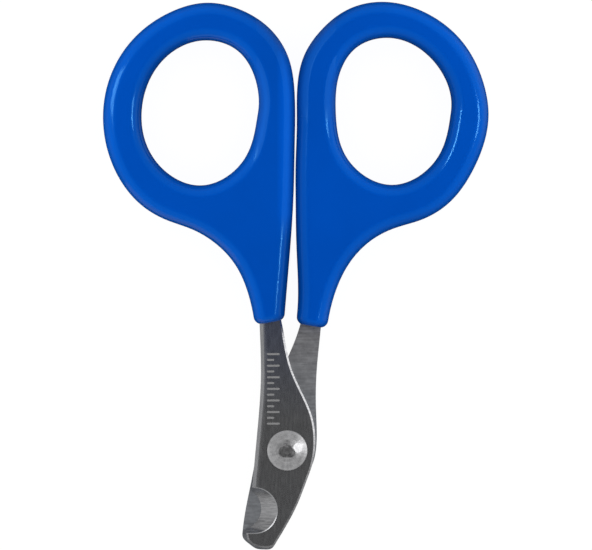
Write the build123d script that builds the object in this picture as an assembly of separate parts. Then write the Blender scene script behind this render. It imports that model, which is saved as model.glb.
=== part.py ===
from build123d import *
import os

# Small pet nail trimmer, lying closed on its back. All sizes are in millimetres.
# +Y points to the finger loops, -Y to the blade tips, +X to the right and +Z up.
# The origin is the middle of the closed tool's footprint, on the surface it lies on.
# The front half is the upper blade with the left loop; the rear half is the lower blade with
# the right loop. Each half is a steel blade whose tang is moulded into its plastic grip.

# ---- Driving dimensions: heights ----
GRIP_THICKNESS = 6.4
BLADE_THICKNESS = 1.8
BLADE_GAP = 0.05
MID_PLANE = GRIP_THICKNESS / 2
FRONT_BLADE_BOTTOM = MID_PLANE + BLADE_GAP / 2
FRONT_BLADE_TOP = FRONT_BLADE_BOTTOM + BLADE_THICKNESS
REAR_BLADE_TOP = MID_PLANE - BLADE_GAP / 2
REAR_BLADE_BOTTOM = REAR_BLADE_TOP - BLADE_THICKNESS

# ---- Driving dimensions: grips ----
GRIP_EDGE_RADIUS = 2.2
GRIP_MOUTH_RADIUS = 1.3
PIN_MARK_RADIUS = 0.8
PIN_MARK_DEPTH = 0.1
FRONT_PIN_MARKS = ((-5.0, 15.0), (-14.5, 10.6), (-28.5, 27.0), (-14.6, 41.65))
REAR_PIN_MARKS = ((5.0, 15.0), (14.5, 10.6), (28.5, 27.0), (14.6, 41.9))

# ---- Driving dimensions: pivot ----
PIVOT = (-1.42, -28.70)
SHANK_RADIUS = 1.6
RUNNING_CLEARANCE = 0.05
HEAD_RADIUS = 3.29
HEAD_RIM = 0.3
HEAD_HEIGHT = 1.45
HEAD_GAP = 0.03
TAIL_RADIUS = 2.2
TAIL_HEIGHT = 0.7
TAIL_EDGE_RADIUS = 0.45
WASHER_RADIUS = 2.8
WASHER_THICKNESS = 0.4
WASHER_CHAMFER = 0.1

# ---- Driving dimensions: ground edges of the blades ----
CUTTING_EDGE_CHAMFER = 0.3
SPINE_BEVEL_WIDTH = 0.85
SPINE_BEVEL_DEPTH = 0.2
SPINE_BLEND_RADIUS = 2.6
REAR_BLADE_CHAMFER = 0.3

# ---- Driving dimensions: nail notches ----
# A notch is ground at a slant, so it is a wide circle in the blade's outer face and a smaller
# one, nearer to the blade's edge, in the face that slides on the other blade. Both run out
# straight through that edge.
NOTCH_OUTER_RADIUS = 3.73
NOTCH_INNER_RADIUS = 3.38
NOTCH_RUN_OUT = 8.0
NOTCH_OVERSHOOT = 0.2
FRONT_NOTCH_OUTER = (-6.80, -38.56)
FRONT_NOTCH_INNER = (-9.08, -38.27)
FRONT_NOTCH_ANGLE = 180
REAR_NOTCH_OUTER = (-1.83, -39.92)
REAR_NOTCH_INNER = (0.28, -40.84)
REAR_NOTCH_ANGLE = -30
NOTCH_RIM_CHAMFER = 0.1

# ---- Driving dimensions: tangs ----
# Each blade runs on into its grip as a narrow tang, and the plastic locks through its holes.
TANG_WIDTH = 3.0
TANG_HOLE_RADIUS = 0.8
TANG_HOLE_PLACES = (0.45, 0.85)
FRONT_TANG = ((-4.25, -6.4), (-5.3, 14.0))
REAR_TANG = ((2.55, -6.8), (4.9, 14.0))

# ---- Outlines: each list is one stretch of an edge, and the next list starts where it ends ----
FRONT_BLADE_SPINE = [
    (-6.0, -6.9), (-5.8, -12.0), (-5.75, -17.0), (-6.1, -23.0), (-6.62, -28.7), (-7.15, -34.5),
    (-7.35, -36.5),
]
FRONT_BLADE_NOTCH_START = [(-7.35, -36.5), (-6.3, -38.3)]
FRONT_BLADE_NOTCH_END = [(-6.3, -38.3), (-8.1, -40.5)]
FRONT_BLADE_TIP = [
    (-8.1, -40.5), (-8.1, -42.6), (-7.85, -43.45), (-7.0, -44.22), (-5.8, -44.6), (-4.2, -44.62),
    (-3.58, -44.38),
]
FRONT_BLADE_EDGE = [
    (-3.58, -44.38), (-1.87, -41.54), (0.2, -37.64), (1.73, -33.75), (2.76, -30.72), (3.17, -27.8),
    (2.58, -22.9), (0.85, -18.9), (-0.83, -14.95), (-1.9, -10.0), (-2.5, -6.9),
]
FRONT_BLADE_SHOULDER = [(-2.5, -6.9), (-6.0, -6.9)]

REAR_BLADE_SPINE = [
    (0.9, -7.3), (-0.28, -11.0), (-2.2, -15.2), (-4.6, -20.0), (-6.0, -26.0), (-7.3, -33.7),
    (-8.1, -37.6), (-8.8, -42.4),
]
REAR_BLADE_TIP = [
    (-8.8, -42.4), (-8.6, -43.2), (-7.7, -44.05), (-6.5, -44.85), (-5.2, -45.0), (-4.07, -44.87),
    (-3.6, -44.4),
]
REAR_BLADE_EDGE = [
    (-3.6, -44.4), (-2.35, -41.5), (-0.3, -37.6), (1.35, -33.7), (2.8, -30.8), (3.38, -27.8),
    (3.3, -22.0), (3.46, -15.0), (3.85, -11.0), (4.2, -7.3),
]
REAR_BLADE_SHOULDER = [(4.2, -7.3), (0.9, -7.3)]

FRONT_GRIP_OUTLINE = [
    (-1.91, -7.3), (-1.13, 2.0), (-0.35, 14.0), (-0.2, 21.0), (-0.2, 30.0), (-1.3, 36.0), (-3.78, 40.0),
    (-8.95, 43.56), (-14.76, 44.75), (-20.46, 43.28), (-26.86, 38.64), (-30.78, 31.76), (-31.66, 25.9),
    (-30.07, 18.1), (-25.53, 11.68), (-21.5, 9.2), (-16.9, 7.5), (-13.2, 5.25), (-10.2, 2.1),
    (-7.88, -2.83), (-6.75, -8.2),
]
FRONT_GRIP_MOUTH = [(-6.75, -8.2), (-1.91, -7.3)]
FRONT_FINGER_HOLE = [
    (-6.22, 26.8), (-6.6, 32.0), (-9.7, 37.0), (-15.6, 38.56), (-21.7, 35.5), (-25.34, 26.8),
    (-23.27, 19.13), (-15.6, 14.78), (-8.25, 19.45),
]

REAR_GRIP_OUTLINE = [
    (0.0, -7.9), (0.35, -3.0), (0.11, 4.0), (-0.06, 13.0), (-0.05, 18.5), (0.14, 24.5), (0.17, 30.0),
    (1.3, 36.0), (3.9, 40.0), (9.06, 43.9), (14.5, 44.9), (21.15, 43.19), (27.36, 38.31), (30.89, 31.24),
    (31.62, 26.5), (29.36, 17.86), (24.68, 11.51), (20.6, 9.13), (16.2, 7.75), (12.5, 5.85), (9.2, 2.6),
    (6.6, -2.38), (5.1, -8.75),
]
REAR_GRIP_MOUTH = [(5.1, -8.75), (0.0, -7.9)]
REAR_FINGER_HOLE = [
    (25.47, 27.0), (23.21, 34.46), (15.75, 38.98), (9.8, 37.3), (6.9, 32.1), (6.54, 27.0),
    (8.25, 19.5), (15.75, 14.87), (23.3, 19.43),
]


def outline(*stretches):
    """Flat face inside that run of stretches: two points make a line, and more a smooth curve."""
    return make_face([Line(*points) if len(points) == 2 else Spline(*points) for points in stretches])


def plate(flat, bottom, thickness):
    """The flat shape as a plate that stands on the given height."""
    return Pos(0, 0, bottom) * extrude(flat, thickness)


def edge_along(stretch, edges, height):
    """The one of the edges that follows the stretch at that height."""
    middle_point = stretch[len(stretch) // 2]
    return edges.sort_by_distance(Vertex(*middle_point, height))[0]


def disc(centre, radius):
    return Pos(*centre) * Circle(radius)


def tang(ends, bottom):
    """Round-ended bar between the two points, with holes for the moulded plastic."""
    line = Line(*ends)
    bar = SlotArc(line, TANG_WIDTH)
    for place in TANG_HOLE_PLACES:
        bar -= Pos(line @ place) * Circle(TANG_HOLE_RADIUS)
    return plate(bar, bottom, BLADE_THICKNESS)


def notch(inner_centre, outer_centre, inner_height, outer_height, run_out_angle):
    """Slanted cutter through a blade: a slot that widens and shifts from the inner to the outer face."""
    start = Vector(*inner_centre, inner_height)
    slant = Vector(*outer_centre, outer_height) - start
    towards_edge = Rot(0, 0, run_out_angle) * Pos(NOTCH_RUN_OUT / 2, 0)
    profiles = []
    for travel in (-NOTCH_OVERSHOOT, 1 + NOTCH_OVERSHOOT):
        radius = NOTCH_INNER_RADIUS + travel * (NOTCH_OUTER_RADIUS - NOTCH_INNER_RADIUS)
        slot = SlotCenterToCenter(NOTCH_RUN_OUT, 2 * radius)
        profiles.append(Pos(start + slant * travel) * towards_edge * slot)
    return loft(profiles, ruled=True)


def break_notch_rim(outer_face, centre):
    """The blade with the sharp rim of its notch broken on its outer face."""
    middle = Vector(*centre, outer_face.center().Z)
    reach = NOTCH_OUTER_RADIUS + NOTCH_RIM_CHAMFER
    rim = [edge for edge in outer_face.edges() if (edge.center() - middle).length < reach]
    return chamfer(rim, NOTCH_RIM_CHAMFER)


def front_blade():
    blade = plate(
        outline(
            FRONT_BLADE_SPINE,
            FRONT_BLADE_NOTCH_START,
            FRONT_BLADE_NOTCH_END,
            FRONT_BLADE_TIP,
            FRONT_BLADE_EDGE,
            FRONT_BLADE_SHOULDER,
        ),
        FRONT_BLADE_BOTTOM,
        BLADE_THICKNESS,
    )
    spine = edge_along(FRONT_BLADE_SPINE, blade.edges(), FRONT_BLADE_TOP)
    blade = chamfer(spine, SPINE_BEVEL_WIDTH, SPINE_BEVEL_DEPTH, reference=blade.faces().sort_by(Axis.Z)[-1])
    crease = edge_along(FRONT_BLADE_SPINE, blade.edges().group_by(Axis.Z)[-1], FRONT_BLADE_TOP)
    blade = fillet(crease, SPINE_BLEND_RADIUS)
    ground = [
        edge_along(stretch, blade.edges(), FRONT_BLADE_TOP) for stretch in (FRONT_BLADE_TIP, FRONT_BLADE_EDGE)
    ]
    blade = chamfer(ground, CUTTING_EDGE_CHAMFER)
    blade += tang(FRONT_TANG, FRONT_BLADE_BOTTOM)
    blade -= notch(
        FRONT_NOTCH_INNER, FRONT_NOTCH_OUTER, FRONT_BLADE_BOTTOM, FRONT_BLADE_TOP, FRONT_NOTCH_ANGLE
    )
    blade = break_notch_rim(blade.faces().sort_by(Axis.Z)[-1], FRONT_NOTCH_OUTER)
    return blade - plate(disc(PIVOT, SHANK_RADIUS + RUNNING_CLEARANCE), FRONT_BLADE_BOTTOM, BLADE_THICKNESS)


def rear_blade():
    blade = plate(
        outline(REAR_BLADE_SPINE, REAR_BLADE_TIP, REAR_BLADE_EDGE, REAR_BLADE_SHOULDER),
        REAR_BLADE_BOTTOM,
        BLADE_THICKNESS,
    )
    outer_face = blade.faces().sort_by(Axis.Z)[0]
    blade = chamfer(outer_face.edges().filter_by(GeomType.LINE, reverse=True), REAR_BLADE_CHAMFER)
    blade += tang(REAR_TANG, REAR_BLADE_BOTTOM)
    blade -= notch(REAR_NOTCH_INNER, REAR_NOTCH_OUTER, REAR_BLADE_TOP, REAR_BLADE_BOTTOM, REAR_NOTCH_ANGLE)
    blade = break_notch_rim(blade.faces().sort_by(Axis.Z)[0], REAR_NOTCH_OUTER)
    return blade - plate(disc(PIVOT, SHANK_RADIUS), REAR_BLADE_BOTTOM, BLADE_THICKNESS)


def grip(side, mouth, finger_hole, pin_marks, blade):
    """Moulded finger loop and leg, rounded all over, with its blade's tang taken out of it.

    The mould's ejector pins left a shallow round mark at each place under it.
    """
    loop = make_face(Spline(*finger_hole, periodic=True))
    body = plate(outline(side, mouth) - loop, 0, GRIP_THICKNESS)
    by_height = body.faces().sort_by(Axis.Z)
    long_edges = (by_height[0].edges() + by_height[-1].edges()).filter_by(GeomType.LINE, reverse=True)
    body = fillet(long_edges, GRIP_EDGE_RADIUS)
    mouth_face = body.faces().filter_by(GeomType.PLANE).sort_by(Axis.Y)[0]
    body = fillet(mouth_face.edges(), GRIP_MOUTH_RADIUS)
    for place in pin_marks:
        body -= plate(disc(place, PIN_MARK_RADIUS), 0, PIN_MARK_DEPTH)
    return body - blade


def pivot_rivet():
    """Domed head on the front blade, shank through both blades, and a tail closed on the washer."""
    head_bottom = FRONT_BLADE_TOP + HEAD_GAP
    rise = HEAD_HEIGHT - HEAD_RIM
    dome_radius = (HEAD_RADIUS**2 + rise**2) / (2 * rise)
    head = plate(disc(PIVOT, HEAD_RADIUS), head_bottom, HEAD_HEIGHT)
    head &= Pos(*PIVOT, head_bottom + HEAD_HEIGHT - dome_radius) * Sphere(dome_radius)
    washer_bottom = REAR_BLADE_BOTTOM - WASHER_THICKNESS
    tail = plate(disc(PIVOT, TAIL_RADIUS), washer_bottom - TAIL_HEIGHT, TAIL_HEIGHT)
    tail = fillet(tail.edges().sort_by(Axis.Z)[0], TAIL_EDGE_RADIUS)
    shank = plate(disc(PIVOT, SHANK_RADIUS), washer_bottom, head_bottom - washer_bottom)
    return head + shank + tail


def rivet_washer():
    ring = disc(PIVOT, WASHER_RADIUS) - disc(PIVOT, SHANK_RADIUS)
    washer = plate(ring, REAR_BLADE_BOTTOM - WASHER_THICKNESS, WASHER_THICKNESS)
    return chamfer(washer.edges().group_by(Axis.Z)[0].sort_by(SortBy.LENGTH)[-1], WASHER_CHAMFER)


front = front_blade()
rear = rear_blade()
nodes = {
    "front_blade": front,
    "rear_blade": rear,
    "front_grip": grip(FRONT_GRIP_OUTLINE, FRONT_GRIP_MOUTH, FRONT_FINGER_HOLE, FRONT_PIN_MARKS, front),
    "rear_grip": grip(REAR_GRIP_OUTLINE, REAR_GRIP_MOUTH, REAR_FINGER_HOLE, REAR_PIN_MARKS, rear),
    "pivot_rivet": pivot_rivet(),
    "rivet_washer": rivet_washer(),
}

os.makedirs("parts", exist_ok=True)
for name, shape in nodes.items():
    export_step(shape, f"parts/{name}.step")
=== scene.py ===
"""Looks of the pet nail trimmer: materials, finer pieces, camera, floor and lights, around its frame."""

import math

import bmesh
import bpy
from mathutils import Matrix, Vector, noise


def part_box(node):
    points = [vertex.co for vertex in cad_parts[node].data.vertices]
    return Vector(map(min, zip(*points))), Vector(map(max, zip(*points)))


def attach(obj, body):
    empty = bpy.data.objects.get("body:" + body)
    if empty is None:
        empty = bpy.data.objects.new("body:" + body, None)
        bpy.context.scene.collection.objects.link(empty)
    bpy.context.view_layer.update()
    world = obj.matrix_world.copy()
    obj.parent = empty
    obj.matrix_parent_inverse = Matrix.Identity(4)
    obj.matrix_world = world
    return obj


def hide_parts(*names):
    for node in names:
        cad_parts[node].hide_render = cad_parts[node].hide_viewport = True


MM = 0.001

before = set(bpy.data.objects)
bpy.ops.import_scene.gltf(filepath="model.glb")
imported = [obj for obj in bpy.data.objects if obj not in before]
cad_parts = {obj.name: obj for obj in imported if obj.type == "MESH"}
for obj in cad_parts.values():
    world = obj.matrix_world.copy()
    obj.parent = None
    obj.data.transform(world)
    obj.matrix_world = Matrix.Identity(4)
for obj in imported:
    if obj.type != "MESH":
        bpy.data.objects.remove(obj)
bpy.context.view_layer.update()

# ---- Places taken from the frame ----
rivet_low, rivet_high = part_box("pivot_rivet")
PIVOT = (rivet_low + rivet_high) / 2
FRONT_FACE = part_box("front_blade")[1].z
WASHER_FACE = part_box("rivet_washer")[0].z
grip_low, grip_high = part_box("front_grip")
GRIP_MIDDLE = (grip_low.z + grip_high.z) / 2
GRIP_MOUTH = grip_low.y

# ---- Camera: a long lens straight above the tool ----
VIEW_WIDTH = 97.2 * MM
VIEW_CENTRE = (0.016 * MM, 0.074 * MM)
FOCUS_HEIGHT = 3.2 * MM
# The sensor and the lens are in millimetres, as Blender takes them.
SENSOR_WIDTH = 36.0
LENS = 600.0
NEAREST_SEEN = 10 * MM

# ---- Light: a dim tent with a dark roof and a glow low at each side, and soft lamps ----
# The edges of the roof and of the ground are heights on a sphere of radius 1.
ROOF_LEVEL = 0.07
TENT_LEVEL = 0.50
ROOF_EDGE = (0.875, 0.925)
GROUND_LEVEL = 0.02
GROUND_EDGE = (-0.25, 0.05)
# Each glow: azimuth, angle from vertical, strength, and the edges of its spot as cosines.
GLOWS = ((15, 90, 0.7, (0.75, 0.95)), (185, 90, 0.2, (0.85, 0.97)))
WHITE = (1.0, 1.0, 1.0)
WARM = (1.0, 0.55, 0.35)
# Each lamp: azimuth, angle from vertical and distance; width and height; brightness in a mirror.
STEEL_LAMP = ((13, 42, 0.6), (0.30, 0.34), 1.55)
NOTCH_LAMP = ((142, 34, 0.6), (0.32, 0.10), 2.7)
EDGE_LAMP = ((15, 90, 0.6), (0.35, 0.35), 0.8)
RIGHT_LAMP = ((4, 35, 0.6), (0.11, 0.11), 15.0)
LEFT_LAMP = ((162, 45, 0.6), (0.17, 0.27), 9.0)
REAR_RIGHT_LAMP = ((3, 35, 0.6), (0.13, 0.12), 16.0)
REAR_LEFT_LAMP = ((153, 30, 0.6), (0.14, 0.10), 21.0)
LEFT_FILL = ((150, 50, 0.14), (0.10, 0.10), 1.45)
RIGHT_FILL = ((30, 50, 0.14), (0.10, 0.10), 1.45)
# A warm sheen from low beyond the blades' tips that fades outwards: lamps of growing size in one place.
SHEEN_AIM = (250, 92, 0.6)
SHEEN_SIZE = (0.32, 0.18)
SHEEN_STEPS = 3
SHEEN_LEVEL = 1.1

# ---- Floor ----
FLOOR_SIZE = 8.0
FLOOR_DROP = 0.05 * MM
FLOOR_GLOW = 0.95
FLOOR_GREY = 0.18
FLOOR_ROUGHNESS = 0.9
FLOOR_SHINE = 0.1

# ---- Noise textures: scale, detail and roughness ----
# A scale is per millimetre of the coordinates after any stretch, and the streaks' is per radian.
SKIN_NOISE = (1.2, 4.0, 0.55)
BROAD_NOISE = (0.08, 4.0, 0.55)
GRINDING_NOISE = (1.0, 6.0, 0.65)
STEEL_NOISE = (0.9, 5.0, 0.7)
STRIPE_NOISE = (1.0, 3.0, 0.6)
STREAK_NOISE = (6.0, 3.0, 0.6)
RING_NOISE = (2.2, 3.0, 0.6)
RIVET_NOISE = (1.6, 5.0, 0.7)
PITTING_NOISE = (9.0, 5.0, 0.7)
# Most of a noise's values lie between these.
NOISE_SPREAD = (0.3, 0.7)

# ---- Plastic: painted light where it rounds over, and painted shade that makes its upright walls darker ----
# Each row: how level the surface is, from 0 upright to 1 level, and its colour there.
PLASTIC_LIGHT_AND_SHADE_BY_SLOPE = (
    (0.10, (0.0, 0.052, 0.27)),
    (0.45, (0.0, 0.066, 0.35)),
    (0.70, (0.0, 0.074, 0.44)),
    (0.88, (0.0, 0.084, 0.50)),
    (0.98, (0.0, 0.078, 0.48)),
    (1.00, (0.0, 0.070, 0.45)),
)

# ---- Plastic: the grips' rounded edges that rub together are dull, and the front one's gets a painted band of light ----
# Starts are along Y and widths along X, both in millimetres, and each pair is where one look fades.
FRONT_RUBBED_AND_LIT_FROM = (5.5, 10.0)
REAR_RUBBED_FROM = (24.0, 28.0)
DULL_WIDTH = (6.0, 7.0)
DULL_ROUGHNESS = 0.55
LIT_BAND_WIDTH = (1.0, 3.2)
LIT_BAND_SHARE = 0.60

# ---- Plastic: its skin, and the faint line round each grip where the halves of its mould met ----
SKIN_HEIGHT = 0.006 * MM
PLASTIC_ROUGHNESS = (0.09, 0.14)
PLASTIC_MOTTLE = (0.96, 1.04)
PLASTIC_SHINE = 0.35
HIGHLIGHT_TINT = (0.15, 0.60, 1.0)
PARTING_WIDTH = (0.03, 0.09)
PARTING_HEIGHT = 0.03 * MM

# ---- How level a surface is where a look kept for level faces starts, and where it is full ----
LEVEL_FACE = (0.975, 0.998)

# ---- Steel: level faces are tinted towards the grips' mouths, and slanted ones are striped ----
# Tinted is in millimetres along Y from the mouths, and slanted says how level the surface is.
TINTED = (-16.0, -1.0)
SLANTED = (0.80, 0.90)
STRIPE_STRETCH = (0.4, 3.5, 1.0)
STRIPE_COLOURS = ((0.26, 0.26, 0.27), (0.54, 0.54, 0.55))
# Most sums of the grinding lines and the mottle lie between these.
STEEL_SPREAD = (0.75, 1.25)
# Colours are the darkest and the lightest, and a tint multiplies them. Stretch is how fast the
# grinding lines change along X, Y and Z, and depth is how deep they are.
FRONT_STEEL = {
    "colours": ((0.51, 0.515, 0.53), (0.55, 0.555, 0.57)),
    "tint": (0.70, 0.76, 1.0),
    "roughness": (0.24, 0.30),
    "stretch": (3.0, 0.5, 3.0),
    "depth": 0.0006 * MM,
}
REAR_STEEL = {
    "colours": ((0.38, 0.395, 0.425), (0.61, 0.635, 0.675)),
    "tint": (0.97, 0.93, 0.91),
    "roughness": (0.42, 0.50),
    "stretch": (0.3, 3.0, 1.0),
    "depth": 0.003 * MM,
}

# ---- Rivet's steel ----
STREAK_SHARE = 0.5
# Most sums of the rings, the share of the streaks and the mottle lie between these.
RIVET_SPREAD = (1.05, 1.45)
RIVET_COLOURS = ((0.42, 0.42, 0.43), (0.70, 0.70, 0.71))
RIVET_ROUGHNESS = (0.25, 0.33)
RIVET_RELIEF = 0.014 * MM

# ---- Etched steel ----
ETCHED_COLOURS = ((0.46, 0.46, 0.47), (0.62, 0.62, 0.62))
ETCHED_ROUGHNESS = (0.55, 0.7)
PIT_DEPTH = 0.01 * MM

# ---- New pieces: corners sharper than this many degrees stay sharp ----
SHARP_ANGLE = 35

# ---- Rivet: the gap keeps its head clear of the front blade, and the dome rises from a low upright rim ----
HEAD_RADIUS = (rivet_high.x - rivet_low.x) / 2
HEAD_RIM = 0.3 * MM
HEAD_GAP = 0.03 * MM
HEAD_BOTTOM = FRONT_FACE + HEAD_GAP
HEAD_RISE = rivet_high.z - HEAD_BOTTOM - HEAD_RIM
DOME_RADIUS = (HEAD_RADIUS**2 + HEAD_RISE**2) / (2 * HEAD_RISE)
HEAD_RINGS = 48
SHANK_RADIUS = 1.6 * MM
TAIL_RADIUS = 2.2 * MM
TAIL_ROUNDING = 0.45 * MM
TAIL_STEPS = 8
TURNS_ROUND = 160
# Flats that the hammer left on the head: azimuth, lean from vertical, and radius.
HAMMER_FLATS = (
    (14, 20, 0.74 * MM),
    (268, 20, 0.95 * MM),
    (95, 13.5, 0.60 * MM),
    (200, 7, 0.85 * MM),
    (265, 5, 0.95 * MM),
    (325, 7, 0.80 * MM),
)
DENT_DEPTH = 0.030 * MM
DENT_SIZE = 0.50 * MM

# ---- Etched scale on the front blade: it starts at this place and runs down towards the rivet ----
MARK_COUNT = 13
MARK_START = (-4.75 * MM, PIVOT.y + 15.8 * MM)
MARK_STEP = 0.95 * MM
MARK_WIDTH = 0.32 * MM
MARK_LENGTHS = (2.1 * MM, 1.2 * MM)
MARK_HEIGHT = 0.008 * MM
MARK_END_STEPS = 8


def direction(azimuth, from_vertical):
    """Unit vector at that azimuth from +X and that angle from straight up, in degrees."""
    turn = math.radians(azimuth)
    lean = math.radians(from_vertical)
    return Vector((math.cos(turn) * math.sin(lean), math.sin(turn) * math.sin(lean), math.cos(lean)))


# ---- Material helpers ----
def new_material(name):
    """A material of that name, its node tree and its shader."""
    material = bpy.data.materials.new(name)
    material.use_nodes = True
    tree = material.node_tree
    return material, tree, tree.nodes["Principled BSDF"]


def add_node(tree, kind, **values):
    """A node with its inputs set by name."""
    node = tree.nodes.new(kind)
    for key, value in values.items():
        node.inputs[key].default_value = value
    return node


def place(tree, scale=(1, 1, 1), offset=(0, 0, 0)):
    """Object coordinates in millimetres from the offset, stretched by the given scale."""
    coordinates = tree.nodes.new("ShaderNodeTexCoord")
    mapping = add_node(tree, "ShaderNodeMapping", Scale=[s / MM for s in scale])
    mapping.inputs["Location"].default_value = [-o * s / MM for o, s in zip(offset, scale)]
    tree.links.new(coordinates.outputs["Object"], mapping.inputs["Vector"])
    return mapping.outputs["Vector"]


def grain(tree, vector, scale, detail, roughness):
    """Noise at those coordinates, from 0 to 1."""
    node = add_node(tree, "ShaderNodeTexNoise", Scale=scale, Detail=detail, Roughness=roughness)
    tree.links.new(vector, node.inputs["Vector"])
    return node.outputs["Fac"]


def remap(tree, value, low, high, start=NOISE_SPREAD[0], end=NOISE_SPREAD[1]):
    """Low where the value is at its start, high where it is at its end, and in between a straight ramp."""
    node = tree.nodes.new("ShaderNodeMapRange")
    for key, number in (("From Min", start), ("From Max", end), ("To Min", low), ("To Max", high)):
        node.inputs[key].default_value = number
    tree.links.new(value, node.inputs["Value"])
    return node.outputs["Result"]


def split(tree, vector):
    """The X, Y and Z of a vector, by name."""
    node = tree.nodes.new("ShaderNodeSeparateXYZ")
    tree.links.new(vector, node.inputs["Vector"])
    return node.outputs


def calculate(tree, kind, operation, *values):
    """A math node of that kind, such as ShaderNodeMath, on numbers, vectors or other nodes' outputs."""
    node = tree.nodes.new(kind)
    node.operation = operation
    for slot, value in zip(node.inputs, values):
        if isinstance(value, bpy.types.NodeSocket):
            tree.links.new(value, slot)
        else:
            slot.default_value = value
    return node.outputs[0]


def socket(sockets, identifier):
    """The one of a node's sockets with that identifier, where several have the same name."""
    return next(each for each in sockets if each.identifier == identifier)


def mix_colours(tree, factor, first, second):
    """The first colour where the factor is 0, the second where it is 1; each a tuple or a node's output."""
    node = tree.nodes.new("ShaderNodeMix")
    node.data_type = "RGBA"
    for identifier, colour in (("A_Color", first), ("B_Color", second)):
        slot = socket(node.inputs, identifier)
        if isinstance(colour, tuple):
            slot.default_value = (*colour, 1)
        else:
            tree.links.new(colour, slot)
    tree.links.new(factor, socket(node.inputs, "Factor_Float"))
    return socket(node.outputs, "Result_Color")


def levelness(tree):
    """How level the surface is: the height of its normal, from 0 on upright walls to 1 on level faces."""
    normal = tree.nodes.new("ShaderNodeTexCoord").outputs["Normal"]
    return calculate(tree, "ShaderNodeMath", "ABSOLUTE", split(tree, normal)["Z"])


def by_slope(tree, stops):
    """Colour by lean: each stop is (height of the normal, colour), and upright walls are at 0."""
    ramp = tree.nodes.new("ShaderNodeValToRGB")
    ramp.color_ramp.interpolation = "EASE"
    tree.links.new(levelness(tree), ramp.inputs["Fac"])
    elements = ramp.color_ramp.elements
    elements.remove(elements[-1])
    elements[0].position = stops[0][0]
    elements[0].color = (*stops[0][1], 1)
    for height, colour in stops[1:]:
        elements.new(height).color = (*colour, 1)
    return ramp.outputs["Color"]


def add_bump(tree, shader, height, distance):
    """Relief on the shader: its height times the distance."""
    node = add_node(tree, "ShaderNodeBump", Strength=1.0, Distance=distance)
    tree.links.new(height, node.inputs["Height"])
    tree.links.new(node.outputs["Normal"], shader.inputs["Normal"])


# ---- Materials ----
def rubbed_and_lit_edge(tree, side, width, start):
    """1 where the grip on that side of the middle rubs on the other one, and 0 elsewhere; it masks the dull
    edges and the front grip's painted band of light.

    Side is -1 for the front grip and 1 for the rear one; width is where it fades in X, and start in Y.
    """
    here = split(tree, place(tree))
    aside = calculate(tree, "ShaderNodeMath", "MULTIPLY", here["X"], side)
    near = remap(tree, aside, 1, 0, *width)
    above = remap(tree, here["Y"], 0, 1, *start)
    patch = calculate(tree, "ShaderNodeMath", "MULTIPLY", near, above)
    on_side = calculate(tree, "ShaderNodeMath", "GREATER_THAN", aside, 0)
    return calculate(tree, "ShaderNodeMath", "MULTIPLY", patch, on_side)


def dull_edges(tree):
    """Roughness of the rounded edges that rub on the other grip, and 0 elsewhere."""
    front = rubbed_and_lit_edge(tree, -1, DULL_WIDTH, FRONT_RUBBED_AND_LIT_FROM)
    rear = rubbed_and_lit_edge(tree, 1, DULL_WIDTH, REAR_RUBBED_FROM)
    either = calculate(tree, "ShaderNodeMath", "ADD", front, rear)
    on_edge = remap(tree, levelness(tree), DULL_ROUGHNESS, 0, *LEVEL_FACE)
    return calculate(tree, "ShaderNodeMath", "MULTIPLY", either, on_edge)


def parting_line(tree):
    """Height of the mould's parting line: 1 along the grips' middle height, and 0 away from it."""
    from_middle = place(tree, offset=(0, 0, GRIP_MIDDLE))
    away = calculate(tree, "ShaderNodeMath", "ABSOLUTE", split(tree, from_middle)["Z"])
    return remap(tree, away, 1, 0, *PARTING_WIDTH)


def blue_plastic():
    """Glossy blue plastic with painted light where it rounds over and painted shade on upright walls, dull
    where the grips rub together, and a painted band of light along the front grip's edge there.
    """
    material, tree, shader = new_material("blue_gloss_plastic")
    fine = grain(tree, place(tree), *SKIN_NOISE)
    broad = grain(tree, place(tree), *BROAD_NOISE)
    mottle = remap(tree, broad, *PLASTIC_MOTTLE)
    # Painted light: the base colour is made paler in a band along the front grip's edge beside the rear
    # grip.
    pale = rubbed_and_lit_edge(tree, -1, LIT_BAND_WIDTH, FRONT_RUBBED_AND_LIT_FROM)
    shade = calculate(tree, "ShaderNodeMath", "MULTIPLY_ADD", pale, LIT_BAND_SHARE, mottle)
    # Painted light on the rounded edges and painted shade on the upright walls, set by how level the surface
    # is.
    colour = calculate(tree, "ShaderNodeVectorMath", "SCALE", by_slope(tree, PLASTIC_LIGHT_AND_SHADE_BY_SLOPE))
    tree.links.new(shade, colour.node.inputs["Scale"])
    tree.links.new(colour, shader.inputs["Base Color"])
    gloss = remap(tree, fine, *PLASTIC_ROUGHNESS)
    roughness = calculate(tree, "ShaderNodeMath", "MAXIMUM", gloss, dull_edges(tree))
    tree.links.new(roughness, shader.inputs["Roughness"])
    shader.inputs["Specular IOR Level"].default_value = PLASTIC_SHINE
    shader.inputs["Specular Tint"].default_value = (*HIGHLIGHT_TINT, 1)
    skin = calculate(tree, "ShaderNodeMath", "MULTIPLY", fine, SKIN_HEIGHT / PARTING_HEIGHT)
    relief = calculate(tree, "ShaderNodeMath", "ADD", skin, parting_line(tree))
    add_bump(tree, shader, relief, PARTING_HEIGHT)
    return material


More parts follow.
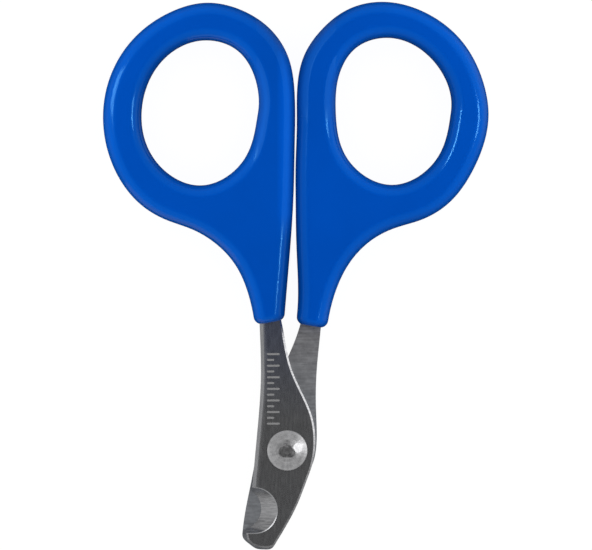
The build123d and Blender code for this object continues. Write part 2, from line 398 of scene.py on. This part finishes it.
def ground_steel(name, colours, tint, roughness, stretch, depth):
    """Steel with grinding lines, tinted on its level faces near the grips and striped on its slants."""
    material, tree, shader = new_material(name)
    shader.inputs["Metallic"].default_value = 1.0
    lines = grain(tree, place(tree, stretch), *GRINDING_NOISE)
    mottle = grain(tree, place(tree), *STEEL_NOISE)
    stripes = grain(tree, place(tree, STRIPE_STRETCH), *STRIPE_NOISE)
    both = calculate(tree, "ShaderNodeMath", "ADD", lines, mottle)
    plain = mix_colours(tree, remap(tree, both, 0, 1, *STEEL_SPREAD), *colours)
    tinted = calculate(tree, "ShaderNodeVectorMath", "MULTIPLY", plain, tint)
    from_mouth = place(tree, offset=(0, GRIP_MOUTH, 0))
    near_grip = remap(tree, split(tree, from_mouth)["Y"], 0, 1, *TINTED)
    flatness = levelness(tree)
    on_level = remap(tree, flatness, 0, 1, *LEVEL_FACE)
    tinting = calculate(tree, "ShaderNodeMath", "MULTIPLY", near_grip, on_level)
    level_colour = mix_colours(tree, tinting, plain, tinted)
    slant_colour = mix_colours(tree, remap(tree, stripes, 0, 1), *STRIPE_COLOURS)
    slanted = remap(tree, flatness, 1, 0, *SLANTED)
    tree.links.new(mix_colours(tree, slanted, level_colour, slant_colour), shader.inputs["Base Color"])
    tree.links.new(remap(tree, lines, *roughness), shader.inputs["Roughness"])
    add_bump(tree, shader, lines, depth)
    return material


def peened_steel():
    """Rivet steel: rings round the pivot and fainter streaks that run out from it, over a soft mottle."""
    material, tree, shader = new_material("rivet_steel")
    shader.inputs["Metallic"].default_value = 1.0
    from_pivot = place(tree, (1, 1, 0), (PIVOT.x, PIVOT.y, 0))
    outward = calculate(tree, "ShaderNodeVectorMath", "NORMALIZE", from_pivot)
    streaks = grain(tree, outward, *STREAK_NOISE)
    radius = calculate(tree, "ShaderNodeVectorMath", "LENGTH", from_pivot).node.outputs["Value"]
    rings = grain(tree, radius, *RING_NOISE)
    mottle = grain(tree, place(tree), *RIVET_NOISE)
    marks = calculate(tree, "ShaderNodeMath", "MULTIPLY_ADD", streaks, STREAK_SHARE, rings)
    both = calculate(tree, "ShaderNodeMath", "ADD", marks, mottle)
    colour = mix_colours(tree, remap(tree, both, 0, 1, *RIVET_SPREAD), *RIVET_COLOURS)
    tree.links.new(colour, shader.inputs["Base Color"])
    tree.links.new(remap(tree, mottle, *RIVET_ROUGHNESS), shader.inputs["Roughness"])
    add_bump(tree, shader, both, RIVET_RELIEF)
    return material


def etched_steel():
    """Steel left pale and dull by the etching acid."""
    material, tree, shader = new_material("etched_steel")
    shader.inputs["Metallic"].default_value = 1.0
    pitting = grain(tree, place(tree), *PITTING_NOISE)
    colour = mix_colours(tree, remap(tree, pitting, 0, 1), *ETCHED_COLOURS)
    tree.links.new(colour, shader.inputs["Base Color"])
    tree.links.new(remap(tree, pitting, *ETCHED_ROUGHNESS), shader.inputs["Roughness"])
    add_bump(tree, shader, pitting, PIT_DEPTH)
    return material


def dress(node, material):
    """The piece made from that CAD node, in that material."""
    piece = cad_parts[node]
    piece.data.materials.clear()
    piece.data.materials.append(material)
    return piece


# ---- Pieces ----
def add_piece(name, shape, material, body):
    """A new smooth piece of that shape, which rides on that body."""
    mesh = bpy.data.meshes.new(name)
    shape.to_mesh(mesh)
    shape.free()
    mesh.materials.append(material)
    mesh.shade_smooth()
    mesh.set_sharp_from_angle(angle=math.radians(SHARP_ANGLE))
    piece = bpy.data.objects.new(name, mesh)
    bpy.context.scene.collection.objects.link(piece)
    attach(piece, body)
    return piece


def arc(centre_radius, centre_height, radius, start, end, steps):
    """Points (radius, height) of a round corner in a turned profile, between two angles in degrees."""
    angles = [math.radians(start + (end - start) * i / steps) for i in range(steps + 1)]
    return [(centre_radius + radius * math.cos(a), centre_height + radius * math.sin(a)) for a in angles]


def head_height(x, y):
    """Height of the rivet's head there: a dome with the hammer's flats and dents in it."""
    height = math.sqrt(DOME_RADIUS**2 - x**2 - y**2)
    for azimuth, lean, flat_radius in HAMMER_FLATS:
        outward = direction(azimuth, lean)
        reach = math.sqrt(DOME_RADIUS**2 - flat_radius**2)
        height = min(height, (reach - outward.x * x - outward.y * y) / outward.z)
    inside = 1 - (x**2 + y**2) / HEAD_RADIUS**2
    dent = DENT_DEPTH * (1 + noise.noise(Vector((x, y, 0)) / DENT_SIZE)) / 2
    return rivet_high.z - DOME_RADIUS + height - inside * dent


def circle(radius):
    """Points (x, y) round the rivet's axis."""
    turns = [2 * math.pi * i / TURNS_ROUND for i in range(TURNS_ROUND)]
    return [(radius * math.cos(turn), radius * math.sin(turn)) for turn in turns]


def rivet_rings():
    """Rings of points down the rivet, from round the middle of its head to round the middle of its tail."""
    corner = (TAIL_RADIUS - TAIL_ROUNDING, rivet_low.z + TAIL_ROUNDING)
    turned = [
        (HEAD_RADIUS, HEAD_BOTTOM),
        (SHANK_RADIUS, HEAD_BOTTOM),
        (SHANK_RADIUS, WASHER_FACE),
        (TAIL_RADIUS, WASHER_FACE),
        *arc(*corner, TAIL_ROUNDING, 0, -90, TAIL_STEPS),
        (TAIL_RADIUS / 2, rivet_low.z),
    ]
    head = [HEAD_RADIUS * step / HEAD_RINGS for step in range(1, HEAD_RINGS + 1)]
    rings = [[(x, y, head_height(x, y)) for x, y in circle(radius)] for radius in head]
    rings += [[(x, y, height) for x, y in circle(radius)] for radius, height in turned]
    return rings


def make_rivet(material):
    """The rivet with a hammered head, in place of the plain one."""
    shape = bmesh.new()
    rings = [[shape.verts.new((PIVOT.x + x, PIVOT.y + y, z)) for x, y, z in ring] for ring in rivet_rings()]
    top = shape.verts.new((PIVOT.x, PIVOT.y, head_height(0, 0)))
    bottom = shape.verts.new((PIVOT.x, PIVOT.y, rivet_low.z))
    for i in range(TURNS_ROUND):
        j = (i + 1) % TURNS_ROUND
        shape.faces.new((top, rings[0][i], rings[0][j]))
        shape.faces.new((bottom, rings[-1][j], rings[-1][i]))
        for upper, lower in zip(rings, rings[1:]):
            shape.faces.new((upper[i], lower[i], lower[j], upper[j]))
    rivet = add_piece("peened_rivet", shape, material, "rear_half")
    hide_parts("pivot_rivet")
    return rivet


def stroke_outline(left, y, length):
    """Points (x, y) round one stroke, which has a half circle at each end."""
    reach = MARK_WIDTH / 2
    outline = []
    for x, start in ((left + length - reach, -90), (left + reach, 90)):
        for step in range(MARK_END_STEPS + 1):
            turn = math.radians(start + 180 * step / MARK_END_STEPS)
            outline.append((x + reach * math.cos(turn), y + reach * math.sin(turn)))
    return outline


def make_scale(material):
    """Plain etched strokes across the shank, long and short in turn, each a thin pad."""
    shape = bmesh.new()
    left, top = MARK_START
    for i in range(MARK_COUNT):
        outline = stroke_outline(left, top - i * MARK_STEP, MARK_LENGTHS[i % len(MARK_LENGTHS)])
        face = shape.faces.new([shape.verts.new((x, y, FRONT_FACE - MARK_HEIGHT)) for x, y in outline])
        raised = bmesh.ops.extrude_face_region(shape, geom=[face])["geom"]
        top_verts = [v for v in raised if isinstance(v, bmesh.types.BMVert)]
        bmesh.ops.translate(shape, verts=top_verts, vec=(0, 0, 2 * MARK_HEIGHT))
    bmesh.ops.recalc_face_normals(shape, faces=shape.faces)
    return add_piece("etched_scale", shape, material, "front_half")


# ---- Stage ----
def make_camera():
    """Camera that takes in the view's width at the focus height."""
    data = bpy.data.cameras.new("camera")
    data.sensor_width = SENSOR_WIDTH
    data.lens = LENS
    data.clip_start = NEAREST_SEEN
    camera = bpy.data.objects.new("camera", data)
    camera.location = (*VIEW_CENTRE, FOCUS_HEIGHT + VIEW_WIDTH * LENS / SENSOR_WIDTH)
    bpy.context.scene.collection.objects.link(camera)
    bpy.context.scene.camera = camera


def make_floor():
    """White table top that glows, so that shadows on it stay faint; nothing glossy mirrors it."""
    bpy.ops.mesh.primitive_plane_add(size=FLOOR_SIZE, location=(0, 0, -FLOOR_DROP))
    floor = bpy.context.object
    floor.name = "floor"
    material, tree, shader = new_material("white_floor")
    shader.inputs["Base Color"].default_value = (FLOOR_GREY, FLOOR_GREY, FLOOR_GREY, 1)
    shader.inputs["Roughness"].default_value = FLOOR_ROUGHNESS
    shader.inputs["Specular IOR Level"].default_value = FLOOR_SHINE
    shader.inputs["Emission Color"].default_value = (*WHITE, 1)
    shader.inputs["Emission Strength"].default_value = FLOOR_GLOW
    floor.data.materials.append(material)
    floor.visible_glossy = False
    floor.visible_shadow = False


def make_world():
    """The tent: dim all round, with a dark roof, a darker ground and a glow low at each side."""
    world = bpy.data.worlds.new("tent")
    bpy.context.scene.world = world
    world.use_nodes = True
    tree = world.node_tree
    towards = tree.nodes.new("ShaderNodeTexCoord").outputs["Generated"]
    height = split(tree, towards)["Z"]
    sky = remap(tree, height, TENT_LEVEL, ROOF_LEVEL, *ROOF_EDGE)
    ground = remap(tree, height, GROUND_LEVEL / TENT_LEVEL, 1, *GROUND_EDGE)
    level = calculate(tree, "ShaderNodeMath", "MULTIPLY", sky, ground)
    for azimuth, from_vertical, strength, edge in GLOWS:
        aim = direction(azimuth, from_vertical)
        along = calculate(tree, "ShaderNodeVectorMath", "DOT_PRODUCT", towards, aim).node.outputs["Value"]
        level = calculate(tree, "ShaderNodeMath", "ADD", level, remap(tree, along, 0, strength, *edge))
    background = tree.nodes["Background"]
    background.inputs["Color"].default_value = (*WHITE, 1)
    tree.links.new(level, background.inputs["Strength"])


def soft_lamp(name, aim, size, radiance, lit, colour=WHITE, gloss=True):
    """Rectangular lamp that lights only the given pieces; without gloss it leaves no highlight on them."""
    data = bpy.data.lights.new(name, "AREA")
    data.shape = "RECTANGLE"
    data.size, data.size_y = size
    data.energy = radiance * math.pi * data.size * data.size_y
    data.color = colour
    lamp = bpy.data.objects.new(name, data)
    azimuth, from_vertical, distance = aim
    towards = direction(azimuth, from_vertical)
    lamp.location = towards * distance
    lamp.rotation_euler = (-towards).to_track_quat("-Z", "Y").to_euler()
    lamp.visible_camera = False
    lamp.visible_glossy = gloss
    bpy.context.scene.collection.objects.link(lamp)
    receivers = bpy.data.collections.new(name + "_lights")
    for piece in lit:
        receivers.objects.link(piece)
    lamp.light_linking.receiver_collection = receivers


make_camera()
make_floor()
make_world()

plastic = blue_plastic()
front_steel = ground_steel("front_blade_steel", **FRONT_STEEL)
rear_steel = ground_steel("rear_blade_steel", **REAR_STEEL)

front_grip = dress("front_grip", plastic)
rear_grip = dress("rear_grip", plastic)
front_blade = dress("front_blade", front_steel)
rear_blade = dress("rear_blade", rear_steel)
washer = dress("rivet_washer", rear_steel)
rivet = make_rivet(peened_steel())
scale = make_scale(etched_steel())

all_steel = (front_blade, rear_blade, washer, rivet, scale)
soft_lamp("steel_lamp", *STEEL_LAMP, all_steel)
soft_lamp("notch_lamp", *NOTCH_LAMP, (front_blade,))
soft_lamp("edge_lamp", *EDGE_LAMP, (front_blade,))
soft_lamp("right_lamp", *RIGHT_LAMP, (front_grip,))
soft_lamp("rear_right_lamp", *REAR_RIGHT_LAMP, (rear_grip,))
soft_lamp("left_lamp", *LEFT_LAMP, (front_grip,))
soft_lamp("rear_left_lamp", *REAR_LEFT_LAMP, (rear_grip,))
soft_lamp("left_fill", *LEFT_FILL, (front_grip,), gloss=False)
soft_lamp("right_fill", *RIGHT_FILL, (rear_grip,), gloss=False)
for step in range(1, SHEEN_STEPS + 1):
    sheen_size = [side * step for side in SHEEN_SIZE]
    soft_lamp("sheen_lamp_" + str(step), SHEEN_AIM, sheen_size, SHEEN_LEVEL, (front_grip,), colour=WARM)

bpy.context.scene.view_settings.view_transform = "Standard"
